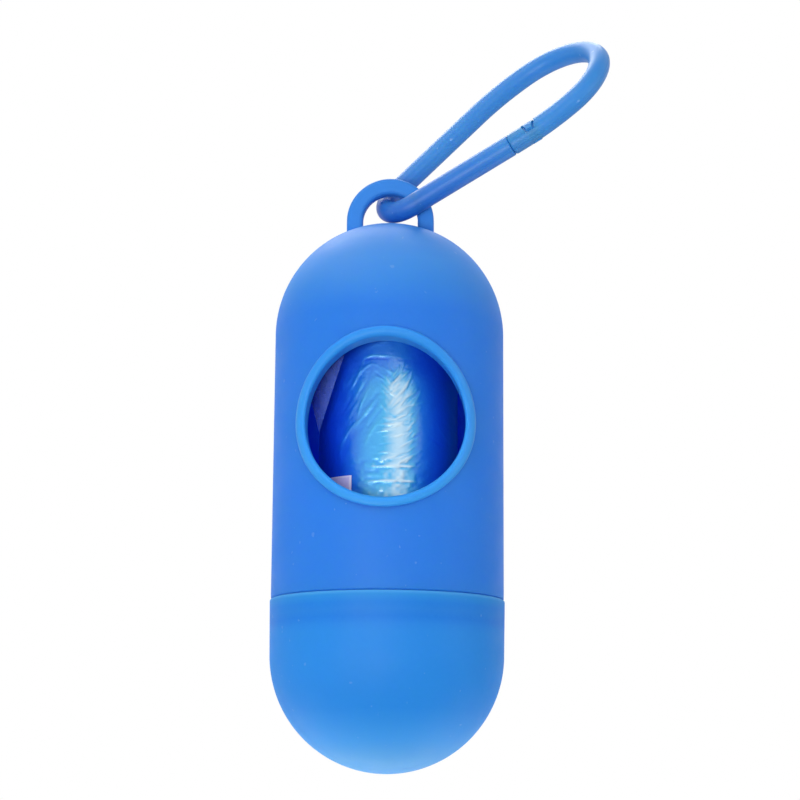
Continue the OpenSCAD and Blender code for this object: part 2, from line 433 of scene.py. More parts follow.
def moulded_plastic(name, tones, pale, rough=0.52, grain=0.02, speck=0.0, thin=0.0,
                    solid_above=None, sheen=0.14, gloss=0.18):
    """Satin moulded plastic: slow drifts of colour, fine spark-eroded grain and a soft sheen. Its
    tones are pairs of (height, colour), and they also hold painted highlight and shade. A thin wall
    lets some light through, most of it blue: thin is how much of it scatters inside. Above
    solid_above the moulding is too thick for that."""
    n = Nodes(name)
    split = n.add("ShaderNodeSeparateXYZ")
    n.link(n.place, split.inputs[0])
    low, high = tones[0][0], tones[-1][0]
    height = n.span(split.outputs["Z"], low * MM, high * MM, 0.0, 1.0)
    tone = n.ramp(height, [((z - low) / (high - low), colour) for z, colour in tones])
    clouding = n.ramp(n.noise(45, detail=3, roughness=0.5), CLOUDING)
    tone = n.mix(1.0, tone, clouding, "MULTIPLY")
    tone = n.mix(n.span(n.noise(1400, detail=3), 0.3, 0.7, 0.0, 0.09), tone, pale)
    if speck:
        dust = n.span(n.noise(900, detail=1, roughness=0.3), 0.765, 0.8, 0.0, speck)
        tone = n.mix(dust, tone, DUST)
    n.link(tone, n.shader.inputs["Base Color"])
    n.link(n.span(n.noise(160, detail=4), 0.3, 0.7, rough - 0.05, rough + 0.06),
           n.shader.inputs["Roughness"])
    fine = n.bump(n.noise(5200, detail=2), 0.35, grain)
    n.link(n.bump(n.noise(260, detail=3), 0.3, grain * 2, fine), n.shader.inputs["Normal"])
    fill_sockets(n.shader, {
        "Specular IOR Level": gloss,
        "Sheen Weight": sheen, "Sheen Tint": SHEEN_TINT, "Sheen Roughness": 0.45,
        "Subsurface Weight": thin, "Subsurface Radius": SCATTER_RATIO,
        "Subsurface Scale": SCATTER_DEPTH * MM,
    })
    if solid_above is not None:
        fade_start = (solid_above - SOLID_FADE) * MM
        weight = n.span(split.outputs["Z"], fade_start, solid_above * MM, thin, 0.0)
        n.link(weight, n.shader.inputs["Subsurface Weight"])
    return n.material


# Tones by height, set beside the photograph, so they hold some of its light too.
# The dome's pale band is a painted highlight from the light above, and the eyelet is solid plastic.
SHELL_TONES_WITH_HIGHLIGHT = [
    (-20, srgb(33, 114, 222)), (-15, srgb(50, 126, 220)), (-10.8, srgb(64, 134, 224)),
    (-7.5, srgb(69, 133, 221)), (-5, srgb(52, 124, 213)), (-2.45, srgb(42, 118, 208)),
    (DOME_TOP_Z, srgb(48, 124, 205)),
]
# The cap is paler on its bottom as painted light and reflection from the floor below, and paler at
# its rim as a painted highlight. It is darker where the neck lies behind its wall, as painted shade
# of the neck.
CAP_TONES_LIT_AND_SHADED = [
    (-94.5, srgb(74, 150, 214)), (-91, srgb(50, 140, 221)), (-86, srgb(30, 126, 214)),
    (SEAM_Z - 6.6, srgb(30, 125, 214)), (SEAM_Z - 5.5, srgb(29, 122, 214)),
    (SEAM_Z - 4.3, srgb(19, 112, 213)), (SEAM_Z - 3.1, srgb(27, 117, 213)),
    (SEAM_Z - 2.0, srgb(21, 115, 214)), (SEAM_Z - 0.7, srgb(32, 128, 215)),
    (SEAM_Z - 0.25, srgb(62, 146, 224)),
]
# Painted light: the ring is a little paler at its bottom than at its top.
BEZEL_TONES_LIT = [
    (WINDOW_Z - WINDOW_R, srgb(46, 140, 232)), (WINDOW_Z + WINDOW_R, srgb(42, 134, 232)),
]
# Painted shade: the clip is darker low down, where it hangs in the eyelet under the dome.
CLIP_TONES_SHADED = [(0, srgb(28, 94, 180)), (7, srgb(31, 107, 183)), (13, srgb(40, 122, 191))]

shell_plastic = moulded_plastic("shell_plastic", SHELL_TONES_WITH_HIGHLIGHT, srgb(52, 124, 232), speck=0.1,
                                thin=0.45, solid_above=DOME_TOP_Z)
cap_plastic = moulded_plastic("cap_plastic", CAP_TONES_LIT_AND_SHADED, srgb(44, 134, 230), speck=0.1, thin=0.25)
bezel_plastic = moulded_plastic("bezel_plastic", BEZEL_TONES_LIT, srgb(54, 142, 235), rough=0.4,
                                thin=0.25, sheen=0.0)
clip_plastic = moulded_plastic("clip_plastic", CLIP_TONES_SHADED, srgb(60, 140, 200), rough=0.42,
                               grain=0.006, speck=0.2, thin=0.2, sheen=0.0, gloss=0.36)


# ---- Capsule -------------------------------------------------------------------------------------

def sphere_arc(centre_z, radius, start, end, steps):
    """Profile points of a sphere on the axis, from one latitude to another, in degrees."""
    return corner((0, centre_z), radius, start, end, steps)


def snap_ring(z, base_r, crest_r, height, downward=False):
    """Rounded ring in a profile: the bead on the neck, or the groove in the mouth."""
    steps = 8
    points = []
    for k in range(steps + 1):
        t = k / steps
        swell = 0.5 - 0.5 * math.cos(2 * math.pi * t)
        points.append((base_r + (crest_r - base_r) * swell, z - height / 2 + height * t))
    return points[::-1] if downward else points


def vertical(radius, start, end, steps):
    return [(radius, z) for z in np.linspace(start, end, steps + 1)]


def make_eyelet():
    """Arch with round-edged section, on two legs that end inside the dome's wall."""
    middle_r = (EYELET_OUT_R + EYELET_IN_R) / 2
    half_w = (EYELET_OUT_R - EYELET_IN_R) / 2
    half_t = EYELET_THICK / 2
    section = []
    for sx, sy, start in ((1, 1, 0), (-1, 1, 90), (-1, -1, 180), (1, -1, 270)):
        centre = (sx * (half_w - EYELET_ROUND), sy * (half_t - EYELET_ROUND))
        section += corner(centre, EYELET_ROUND, start, start + 90, 7)
    leg = np.linspace(EYELET_LEG_END, EYELET_ARCH_Z, 8)
    arch = np.linspace(0, math.pi, 73)
    path = [(middle_r, z, 0) for z in leg]
    path += [(middle_r * math.cos(a), middle_r * math.sin(a), a) for a in arch]
    path += [(-middle_r, z, math.pi) for z in leg[::-1]]
    verts = []
    for x, z, a in path:
        outward = (math.cos(a), math.sin(a))
        for w, t in section:
            verts.append((x + w * outward[0], t, z + w * outward[1]))
    return new_object("eyelet", verts, tube_faces(len(path), len(section)))


def make_window_cutter():
    """Rod along Y that goes through the front wall."""
    verts = [(SHELL_HOLE_R * math.cos(a), y, WINDOW_Z + SHELL_HOLE_R * math.sin(a))
             for y in WINDOW_CUT for a in round_angles(RING_SEGMENTS)]
    return new_object("window_cutter", verts, tube_faces(2, RING_SEGMENTS))


def make_shell():
    shoulder_z = SEAM_Z + SEAM_HALF_GAP
    edge = SHELL_EDGE
    profile = [(CAVITY_R + edge, NECK_Z)]
    profile += corner((NECK_R - edge, NECK_Z + edge), edge, -90, 0, 5)
    profile += snap_ring(BEAD_Z, NECK_R, BEAD_R, BEAD_LEN)
    # Behind the rounded edge a step narrows the seam's gap
    step_z, step_r = shoulder_z - SEAM_STEP_DROP, SHELL_R - edge - SEAM_STEP
    profile += [(NECK_R, step_z), (step_r, step_z), (step_r, shoulder_z)]
    profile += corner((SHELL_R - edge, shoulder_z + edge), edge, -90, 0, 5)
    profile += vertical(SHELL_R, shoulder_z + edge + SHELL_RING_GAP, DOME_Z, 30)[:-1]
    profile += sphere_arc(DOME_Z, SHELL_R, 0, 90, 48)
    profile[-1] = (0, DOME_TOP_Z)
    inner = sphere_arc(DOME_Z, CAVITY_R, 90, 0, 40)
    inner[0] = (0, DOME_Z + CAVITY_R)
    profile += inner
    profile += vertical(CAVITY_R, DOME_Z, NECK_Z + edge, 24)[1:]
    shell = lathe("shell", profile)
    boolean(shell, make_window_cutter(), "DIFFERENCE")
    boolean(shell, make_eyelet(), "UNION")
    tidy_mesh(shell)
    finish_piece(shell, "body_shell", "housing", shell_plastic)


def make_bezel():
    """Ring round the window. Its profile is (distance from the window's axis, distance from the
    capsule's axis), so the ring follows the capsule's curve."""
    crown, inner_round, edge = BEZEL_CROWN, BEZEL_INNER_ROUND, SMALL_EDGE
    front, back = BEZEL_FRONT_R, SLEEVE_BACK_R
    foot = SHELL_R + BEZEL_FOOT_GAP
    profile = [(BEZEL_R - BEZEL_UNDERCUT[0], foot), (BEZEL_R, foot + BEZEL_UNDERCUT[1])]
    profile += corner((BEZEL_R - crown, front - crown), crown, 0, 90, 7)
    profile += corner((WINDOW_R + inner_round, front - inner_round), inner_round, 90, 180, 9)
    profile += [(WINDOW_R, r) for r in np.linspace(front - inner_round, back + edge, 12)[1:]]
    profile += corner((WINDOW_R + edge, back + edge), edge, 180, 270, 4)[1:]
    profile += corner((SLEEVE_R - edge, back + edge), edge, 270, 360, 4)
    barb_front = CAVITY_R - BARB_CLEAR
    barb_back = barb_front - BARB_LEN
    profile += [(SLEEVE_R, barb_back), (BARB_R, barb_back), (BARB_R, barb_front),
                (SLEEVE_R, barb_front), (SLEEVE_R, foot)]
    verts = []
    for r, out in profile:
        for a in round_angles(BEZEL_SEGMENTS):
            x = r * math.cos(a)
            verts.append((x, -math.sqrt(out * out - x * x), WINDOW_Z + r * math.sin(a)))
    bezel = new_object("bezel", verts, grid_faces(len(profile), BEZEL_SEGMENTS, close_rows=True))
    tidy_mesh(bezel)
    finish_piece(bezel, "window_bezel", "housing", bezel_plastic)


def make_cap():
    top_z = SEAM_Z - SEAM_HALF_GAP
    edge = CAP_EDGE
    outer = sphere_arc(CAP_BOWL_Z, CAP_R, -90, 0, 56)
    outer[0] = (0, CAP_BOTTOM_Z)
    rise = top_z - edge - CAP_BOWL_Z
    rings = 12
    for k in range(1, rings + 1):
        t = k / rings
        outer.append((CAP_R + (CAP_RIM_R - CAP_R) * t, CAP_BOWL_Z + rise * t))
    outer += corner((CAP_RIM_R - edge, top_z - edge), edge, 0, 90, 6)[1:]
    ledge_z = NECK_Z - LEDGE_GAP
    inner = [(MOUTH_R + SMALL_EDGE, top_z), (MOUTH_R, top_z - SMALL_EDGE)]
    inner += snap_ring(BEAD_Z, MOUTH_R, GROOVE_R, GROOVE_LEN, downward=True)
    inner += [(MOUTH_R, ledge_z), (CAVITY_R + LEDGE_EDGE, ledge_z),
              (CAVITY_R, ledge_z - LEDGE_EDGE)]
    inner += vertical(CAVITY_R, ledge_z - CAP_RING_GAP, CAP_BOWL_Z, 6)[:-1]
    bowl = sphere_arc(CAP_BOWL_Z, CAVITY_R, 0, -90, 44)
    bowl[-1] = (0, CAP_BOWL_Z - CAVITY_R)
    cap = lathe("cap", outer + inner + bowl)
    tidy_mesh(cap)
    finish_piece(cap, "bottom_cap", "cap", cap_plastic)


make_shell()
make_bezel()
make_cap()


# ---- Clip ----------------------------------------------------------------------------------------

def clip_point(s, t, out=0.0):
    """Place of a point of the loop: s along its axis from the tip, t across it, and out of it."""
    return CLIP_TIP + CLIP_TURN @ Vector((s, t, out))


SIDE_LEN = (
    LARGE_BEND_R * math.cos(FLANK_ANGLE)
    - SMALL_BEND_R * math.cos(SIDE_ANGLE)
    - FLANK_R * (math.cos(FLANK_ANGLE) - math.cos(SIDE_ANGLE))
) / math.sin(SIDE_ANGLE)
SIDE_START = SMALL_BEND_R * np.array([1 - math.sin(SIDE_ANGLE), math.cos(SIDE_ANGLE)])
SIDE_DIR = np.array([math.cos(SIDE_ANGLE), math.sin(SIDE_ANGLE)])
SIDE_IN = np.array([math.sin(SIDE_ANGLE), -math.cos(SIDE_ANGLE)])
SIDE_STOP = SIDE_START + SIDE_LEN * SIDE_DIR
FLANK_CENTRE = SIDE_STOP + FLANK_R * SIDE_IN
LARGE_CENTRE_S = FLANK_CENTRE[0] + (FLANK_R - LARGE_BEND_R) * math.sin(FLANK_ANGLE)
STRAND_STEP = 0.35
JOINT_STEP = 0.04


def straight(start, end, step=STRAND_STEP):
    """Centreline points (s, t, inward s, inward t) of a stretch of the near side."""
    steps = max(2, round(abs(end - start) / step))
    return [(*(SIDE_START + x * SIDE_DIR), *SIDE_IN) for x in np.linspace(start, end, steps + 1)]


def bend(centre, radius, start, end):
    """Centreline points along an arc that has the loop's inside towards its centre."""
    steps = max(4, round(abs(end - start) * radius / STRAND_STEP))
    points = []
    for a in np.linspace(start, end, steps + 1):
        out = np.array([math.cos(a), math.sin(a)])
        points.append((*(np.array(centre) + radius * out), *-out))
    return points


def mirrored(points):
    """The same stretch on the loop's other side, run backwards."""
    return [(s, -t, ns, -nt) for s, t, ns, nt in points[::-1]]


# The mould's parting lines, on the loop's outer side from the nose round into the large bend.
# Angles round the strand count from the loop's inside.
PARTING_LINES = (math.radians(180), math.radians(166))
PARTING_HALF = math.radians(4.5)
PARTING_RAISE = 0.045
PARTING_LEN = 30.0
PARTING_FADE = 8.0
STRAND_SEGMENTS = 56
ROUND_ANGLES = round_angles(STRAND_SEGMENTS)
PARTED_ANGLES = sorted(
    [a for a in ROUND_ANGLES if all(abs(a - line) > 2 * PARTING_HALF for line in PARTING_LINES)]
    + [math.radians(a) for a in np.arange(158, 190, 1.5)]
)

JOINT_ROUND = 0.34
# Outline of the lug on the gate's end: (along from the joint, inward)
LUG = [(3.15, TONGUE_IN), (3.6, -1.25), (5.0, -1.2), (5.5, TONGUE_IN)]
LUG_PROUD = 0.16
SCORE_WIDTH = 0.4
SCORE_DEPTH = 0.42
# The score groove is cut on the camera's side only, where out of the loop's plane is below this
SCORE_FLOOR = -1.1
CUTTER_REACH = 2.6


def parted_radius(along, angle):
    """Radius of the strand with its parting lines, which die out round the bend."""
    fading = min(1.0, max(0.0, (PARTING_LEN - along) / PARTING_FADE))
    raised = max(math.exp(-((angle - line) / PARTING_HALF) ** 2) for line in PARTING_LINES)
    return STRAND_R + PARTING_RAISE * fading * raised


def gate_radius(along, angle):
    """Radius of the gate's strand: its edge is rounded off where it meets the nose, and its lug
    stands a little proud of the nose on the loop's inside."""
    past_joint = along + ROOT_CUT - GATE_END
    off_edge = JOINT_ROUND - min(JOINT_ROUND, abs(past_joint))
    rounding = JOINT_ROUND - math.sqrt(JOINT_ROUND ** 2 - off_edge ** 2)
    proud = LUG_PROUD * max(0.0, math.cos(angle)) if past_joint > LUG[0][0] - 0.1 else 0.0
    return STRAND_R - rounding + proud


def strand(name, stretches, radius, angles=ROUND_ANGLES, round_start=True, round_end=True):
    """Round strand along stretches of centreline, with a radius from radius(along, angle)."""
    path = []
    for stretch in stretches:
        path += stretch if not path else stretch[1:]
    line = np.array(path)
    along = np.concatenate([[0], np.cumsum(np.linalg.norm(np.diff(line[:, :2], axis=0), axis=1))])
    length = along[-1]
    rounding = [(JOINT_ROUND * (1 - math.cos(a)), JOINT_ROUND * (1 - math.sin(a)))
                for a in np.radians((0, 22, 45, 67, 90))]
    stations = [(x, 0.0) for x in along]
    if round_start:
        stations = rounding + [station for station in stations if station[0] > JOINT_ROUND]
    if round_end:
        stations = [station for station in stations if station[0] < length - JOINT_ROUND]
        stations += [(length - x, drop) for x, drop in rounding[::-1]]
    rows = []
    for x, drop in stations:
        s, t, ns, nt = (np.interp(x, along, line[:, i]) for i in range(4))
        for a in angles:
            r = radius(x, a) - drop
            inward = r * math.cos(a)
            rows.append(clip_point(s + inward * ns, t + inward * nt, r * math.sin(a)))
    return new_object(name, rows, tube_faces(len(stations), len(angles)))


def side_prism(name, outline, outs=(-CUTTER_REACH, CUTTER_REACH)):
    """Cutter across the near side: its outline is (along from the joint line, inward)."""
    verts = []
    for out in outs:
        for along, inward in outline:
            s, t = SIDE_START + (GATE_END + along) * SIDE_DIR + inward * SIDE_IN
            verts.append(clip_point(s, t, out))
    return new_object(name, verts, tube_faces(2, len(outline)))


def score_lug(obj):
    """Shallow groove in the strand's front round the lug, where its edges are softened."""
    for (a1, i1), (a2, i2) in zip(LUG, LUG[1:]):
        length = math.hypot(a2 - a1, i2 - i1)
        da, di = (a2 - a1) / length * SCORE_WIDTH / 2, (i2 - i1) / length * SCORE_WIDTH / 2
        outline = [(a1 - da - di, i1 - di + da), (a1 - da + di, i1 - di - da),
                   (a2 + da + di, i2 + di - da), (a2 + da - di, i2 + di + da)]
        groove = side_prism("score_cutter", outline, (-CUTTER_REACH, SCORE_FLOOR))
        core = strand("score_core", [straight(GATE_END, GATE_END + TONGUE_LEN + 2)],
                      lambda along, angle: STRAND_R - SCORE_DEPTH)
        boolean(groove, core, "DIFFERENCE")
        boolean(obj, groove, "DIFFERENCE")


def make_clip_frame():
    """All of the clip but its gate. A notch in its nose takes the gate's tongue and lug."""
    quarter = math.pi / 2
    small = bend((SMALL_BEND_R, 0), SMALL_BEND_R, -quarter - SIDE_ANGLE, -3 * quarter + SIDE_ANGLE)
    large = bend((LARGE_CENTRE_S, 0), LARGE_BEND_R, quarter - FLANK_ANGLE, FLANK_ANGLE - quarter)
    flank = bend(FLANK_CENTRE, FLANK_R, quarter + SIDE_ANGLE, quarter - FLANK_ANGLE)
    nose = straight(GATE_END + GATE_GAP / 2, SIDE_LEN)
    far = mirrored(straight(0, SIDE_LEN))
    to_root = straight(0, ROOT_CUT)
    loop = strand("clip_loop", [nose, flank, large, mirrored(flank), far, small, to_root],
                  parted_radius, PARTED_ANGLES, round_end=False)
    c = GATE_CLEAR
    notch = [(-1, TONGUE_IN - c), (LUG[0][0] - c, TONGUE_IN - c),
             (LUG[1][0] - c, LUG[1][1] - 2 * c), (LUG[2][0] + c, LUG[2][1] - c),
             (LUG[3][0] + c, TONGUE_IN - c), (LUG[3][0] + c, 2 * STRAND_R), (-1, 2 * STRAND_R)]
    boolean(loop, side_prism("notch_cutter", notch), "DIFFERENCE")
    score_lug(loop)
    tidy_mesh(loop)
    finish_piece(loop, "clip_frame", "clip", clip_plastic)


def make_clip_gate():
    """The gate with its tongue and lug, from its root at the clip over to its end."""
    joint = (GATE_END - JOINT_ROUND, GATE_END + JOINT_ROUND)
    stretches = [straight(ROOT_CUT, joint[0]), straight(*joint, step=JOINT_STEP),
                 straight(joint[1], GATE_END + TONGUE_LEN)]
    gate = strand("clip_gate_strand", stretches, gate_radius, round_start=False)
    beyond = [(-GATE_GAP / 2, -CUTTER_REACH), (-GATE_GAP / 2, TONGUE_IN), *LUG,
              (TONGUE_LEN + 1, TONGUE_IN), (TONGUE_LEN + 1, -CUTTER_REACH)]
    boolean(gate, side_prism("gate_cutter", beyond), "DIFFERENCE")
    score_lug(gate)
    tidy_mesh(gate)
    set_material(gate, clip_plastic)
    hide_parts("clip_gate")
    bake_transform(gate)


make_clip_frame()
make_clip_gate()


# ---- Roll ----------------------------------------------------------------------------------------

# Tones of the outer film by how pale it is painted: deep blue where it lies tight, and pale where
# it is milky film and painted highlight.
FILM_TONES = [
    (0.0, srgb(6, 56, 206)), (0.3, srgb(18, 104, 200)), (0.55, srgb(50, 142, 194)),
    (1.0, srgb(186, 200, 206)),
]
FILM_TINT = srgb(80, 172, 204)
WOUND_TONES = [(0.0, srgb(12, 84, 204)), (1.0, srgb(60, 150, 220))]
WOUND_TINT = srgb(80, 190, 220)
CARD_TONES = [(0.3, srgb(160, 132, 98)), (0.5, srgb(180, 152, 116)), (0.7, srgb(200, 174, 138))]
PAPER_TONES = [(0.3, srgb(192, 184, 232)), (0.7, srgb(214, 206, 244))]
PAPER_TOP_EDGE = srgb(224, 216, 240)
PAPER_SIDE_EDGE = srgb(232, 222, 240)
CLEAR_TONES = [(0.3, srgb(84, 116, 205)), (0.7, srgb(116, 138, 220))]


def paint(node, material):
    """A CAD node keeps its shape and gets a new material and smooth faces."""
    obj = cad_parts[node]
    set_material(obj, material)
    bm = bmesh.new()
    bm.from_mesh(obj.data)
    for face in bm.faces:
        face.smooth = True
    bm.to_mesh(obj.data)
    bm.free()


def film_material(name, tones, tint, rough=0.4, shine=0.7):
    """Thin glossy film in many layers. Its tones run from film that lies tight on the layers below
    to pale film, which is partly milky film that stands off them and partly painted highlight. Over
    them lie a wide shine in the film's tint, from the layers below, and a clear narrow shine, from
    the outer layer."""
    n = Nodes(name)
    loose = n.add("ShaderNodeAttribute", attribute_name="loose").outputs["Fac"]
    n.link(n.ramp(loose, tones), n.shader.inputs["Base Color"])
    fill_sockets(n.shader, {
        "IOR": 2.9, "Specular Tint": tint,
        "Coat Weight": shine, "Coat Roughness": 0.2, "Coat IOR": 1.6,
    })
    n.link(n.span(n.noise(500, detail=4), 0.3, 0.7, rough - 0.07, rough + 0.1),
           n.shader.inputs["Roughness"])
    crumple = n.bump(
        n.noise(900, detail=5, roughness=0.6, stretch=(1, 1, 0.6), distortion=0.6), 0.4, 0.1)
    n.link(crumple, n.shader.inputs["Normal"])
    n.link(crumple, n.shader.inputs["Coat Normal"])
    return n.material


def card_material():
    n = Nodes("core_card")
    fibre = n.noise(900, detail=5, stretch=(1, 1, 0.25))
    n.link(n.ramp(fibre, CARD_TONES), n.shader.inputs["Base Color"])
    n.link(n.span(n.noise(300), 0.3, 0.7, 0.78, 0.9), n.shader.inputs["Roughness"])
    n.link(n.bump(fibre, 0.5, 0.05), n.shader.inputs["Normal"])
    return n.material


def paper_material(edge_z, edge_x):
    """Plain tinted paper with a paler edge along its top and its right side."""
    n = Nodes("label_paper")
    tone = n.ramp(n.noise(600, detail=4), PAPER_TONES)
    split = n.add("ShaderNodeSeparateXYZ")
    n.link(n.place, split.inputs[0])
    top = n.span(split.outputs["Z"], (edge_z - 0.35) * MM, (edge_z - 0.2) * MM, 0.0, 1.0)
    side = n.span(split.outputs["X"], (edge_x - 0.5) * MM, (edge_x - 0.35) * MM, 0.0, 1.0)
    tone = n.mix(top, tone, PAPER_TOP_EDGE)
    n.link(n.mix(side, tone, PAPER_SIDE_EDGE), n.shader.inputs["Base Color"])
    n.link(n.span(n.noise(500), 0.3, 0.7, 0.5, 0.65), n.shader.inputs["Roughness"])
    n.link(n.bump(n.noise(1500, detail=3), 0.3, 0.03), n.shader.inputs["Normal"])
    return n.material


def clear_film_material():
    """The single layer of the loose end, which lets the dark inside show through."""
    n = Nodes("loose_film")
    n.link(n.ramp(n.noise(350, detail=4), CLEAR_TONES), n.shader.inputs["Base Color"])
    n.link(n.span(n.noise(420, detail=3), 0.3, 0.7, 0.24, 0.36), n.shader.inputs["Roughness"])
    n.link(n.span(n.noise(260, detail=4), 0.3, 0.7, 0.36, 0.52), n.shader.inputs["Alpha"])
    n.link(n.bump(n.noise(700, detail=4), 0.4, 0.05), n.shader.inputs["Normal"])
    return n.material


film = film_material("bag_film", FILM_TONES, FILM_TINT)
wound_film = film_material("wound_film", WOUND_TONES, WOUND_TINT, rough=0.5, shine=0.3)
card = card_material()
paper = paper_material(label_high.z, label_high.x)
clear_film = clear_film_material()

# The outer film. Places round the roll are in millimetres from the front, to the right.
FILM_STEP = 0.13
FILM_STEP_COARSE = 0.4
FILM_FRONT = math.radians(66)
FILM_SHOWN = (-53.0, ROLL_TOP_Z)
FILM_DEPTH = 0.27
INNER_FILM_R = ROLL_R - 0.3
HALF_ROUND = math.pi * ROLL_R
SPINE_AT = 1.3
# Bands painted paler round the roll: near the front they are painted highlight, and further round
# they repeat the same pale look: (place round the roll, half width, how pale)
MILK_AND_HIGHLIGHT_BANDS = (
    (2.4, 2.2, 0.42), (1.2, 6.2, 0.42), (-3.4, 2.8, 0.18), (17, 4, 0.4), (25, 3, 0.5),
    (35, 4, 0.4), (-26, 5, 0.5),
)
FOLD_LINES = (-45.65, -48.19)
UPPER_FOLD = -26.95
MOTTLED_BELOW = -43.9
# The creases that the photograph shows end here, to both sides of the front
FRONT_CREASES_TO = 9.5
# How far each feature lifts the film, as shares of FILM_DEPTH
REST_LIFT, SLACK_LIFT, FINE_LIFT = 0.35, 0.14, 0.05
ARM_LIFT, STREAK_LIFT, ELSEWHERE_LIFT, MOTTLE_LIFT = 0.16, 0.15, 0.12, 0.16
FOLD_LIFT, UPPER_LIFT, ARC_LIFT = 0.15, 0.08, 0.05
# How much paler each feature paints the film: painted highlight on its crests and folds, and partly
# milky film
CREASE_PALING, FOLD_PALING, UPPER_PALING, ARC_PALING = 1.1, 0.6, 0.2, 0.08


def steps_between(stretches):
    """Stations along stretches of (start, end, step), each end shared with the next start."""
    stations = []
    for start, end, step in stretches:
        count = max(1, round((end - start) / step))
        stations += list(np.linspace(start, end, count + 1)[:-1])
    return np.array(stations)


def drift(random, around, height, cell_u, cell_z):
    """Smooth random field from -1 to 1 over the roll, closed on itself all the way round."""
    columns = max(3, round(2 * math.pi * ROLL_R / cell_u))
    rows = math.ceil(ROLL_LEN / cell_z) + 2
    values = random.uniform(-1, 1, (rows, columns))
    x = (around / (2 * math.pi * ROLL_R) + 0.5) * columns
    y = (height - ROLL_LOW_Z) / cell_z
    i, j = np.floor(x).astype(int), np.clip(np.floor(y).astype(int), 0, rows - 2)
    fx, fy = x - i, np.clip(y - j, 0, 1)
    fx, fy = fx * fx * (3 - 2 * fx), fy * fy * (3 - 2 * fy)
    low = values[j, i % columns] * (1 - fx) + values[j, (i + 1) % columns] * fx
    high = values[j + 1, i % columns] * (1 - fx) + values[j + 1, (i + 1) % columns] * fx
    return low * (1 - fy) + high * fy


def fade(value, start, end):
    """0 before start and 1 after end, or the other way round where start is past end."""
    t = np.clip((value - start) / (end - start), 0, 1)
    return t * t * (3 - 2 * t)


def bell(distance, width):
    """1 in the middle of a feature, and falling smoothly to 0 on both sides."""
    return np.exp(-(distance / width) ** 2)


def creases(random, around, height, count, zone, slope, length, width):
    """Short soft creases, some raised and some sunk, scattered over a zone of (left, right, low,
    high). slope(u, z) is how far a crease rises for each millimetre to the right."""
    total = np.zeros_like(around)
    for _ in range(count):
        u, z = random.uniform(zone[0], zone[1]), random.uniform(zone[2], zone[3])
        lean = math.atan(slope(u, z)) + random.normal(0, 0.16)
        half, wide = random.uniform(*length) / 2, random.uniform(*width)
        bow, sign = random.normal(0, 0.05), random.choice((1.0, 1.0, -1.0))
        along = (around - u) * math.cos(lean) + (height - z) * math.sin(lean)
        across = (height - z) * math.cos(lean) - (around - u) * math.sin(lean) - bow * along ** 2
        total += sign * random.uniform(0.4, 1) * np.exp(-(across / wide) ** 2 - (along / half) ** 4)
    return total


def fern(random, around, height):
    """The creases on the roll's front: arms that rise from a spine to both sides, steep at the top
    and nearly level lower down, and long faint streaks on the left."""
    low, high = MOTTLED_BELOW - 0.8, UPPER_FOLD - 1.8
    middle = low + 6.5

    def right_slope(u, z):
        return 0.5 + 0.9 * (z - middle) / (high - middle)

    def left_slope(u, z):
        return -0.9

    def level_slope(u, z):
        return 0.1 + 0.25 * max(0, u - 2)

    def steep_slope(u, z):
        return 1.5

    def streak_slope(u, z):
        return 1.25

    spine = SPINE_AT
    arms = creases(random, around, height, 60, (spine - 0.4, spine + 4.2, middle, high),
                   right_slope, (1.8, 4.2), (0.15, 0.28))
    arms += creases(random, around, height, 18, (spine - 2.4, spine + 0.2, middle, high),
                    left_slope, (1.2, 2.6), (0.13, 0.24))
    arms += creases(random, around, height, 40, (-0.4, 5.6, low, middle + 0.8),
                    level_slope, (1.2, 3.4), (0.12, 0.24))
    arms += creases(random, around, height, 9, (spine + 2.4, spine + 4.4, low + 2, middle + 2.5),
                    steep_slope, (1.6, 3.2), (0.16, 0.26))
    streaks = creases(random, around, height, 26, (-8.0, -1.2, low + 2, high),
                      streak_slope, (2.6, 6.0), (0.2, 0.42))
    return arms, streaks


def creases_elsewhere(random, around, height):
    """Creases on the roll's sides and back. Places left of the front count on past the back."""
    right, left = FRONT_CREASES_TO, 2 * HALF_ROUND - FRONT_CREASES_TO

    def slope(u, z):
        return 0.9 * math.sin(0.35 * u)

    total = creases(random, around, height, 110, (right, left, ROLL_LOW_Z, ROLL_TOP_Z),
                    slope, (2.0, 6.0), (0.2, 0.5))
    total += creases(random, around + 2 * HALF_ROUND, height, 70,
                     (HALF_ROUND, left, ROLL_LOW_Z, ROLL_TOP_Z), slope, (2.0, 6.0), (0.2, 0.5))
    return total


def mottling(random, around, height):
    """Fine dents all over the front's lower end."""
    low_part = fade(height, MOTTLED_BELOW + 0.5, MOTTLED_BELOW - 1.2)
    return drift(random, around, height, 0.7, 0.6) * low_part * fade(np.abs(around), 9.0, 5.5)


def lower_folds(random, around, height):
    """Nearly level folds across the mottled end, each with a shallow trough under it."""
    folds = 0
    for place in FOLD_LINES:
        line = height - place - 0.12 * drift(random, around, height, 4.0, 60.0)
        folds = folds + bell(line, 0.16) - 0.4 * bell(line + 0.4, 0.22)
    return folds * fade(around, 6.5, 3.6) * fade(around, -3.6, -1.2)


def upper_fold(random, around, height):
    """Fold near the window's upper rim, strongest left of the front, with a trough under it."""
    line = height - UPPER_FOLD - 0.3 * drift(random, around, height, 2.4, 60.0)
    fold = bell(line, 0.2) - 0.8 * bell(line + 0.5, 0.25)
    fold = fold * (fade(around, 1.2, -0.6) + 0.3 * fade(around, 6.0, 3.0))
    return fold * fade(around, -4.4, -2.8)


def dimple_edge(around, height):
    """Upper edge of a round dimple below the upper fold."""
    dimple = np.hypot((around + 2.6) / 2.1, (height - UPPER_FOLD + 3.2) / 2.0) - 1
    return bell(dimple, 0.1) * fade(height, UPPER_FOLD - 3.4, UPPER_FOLD - 2.2)


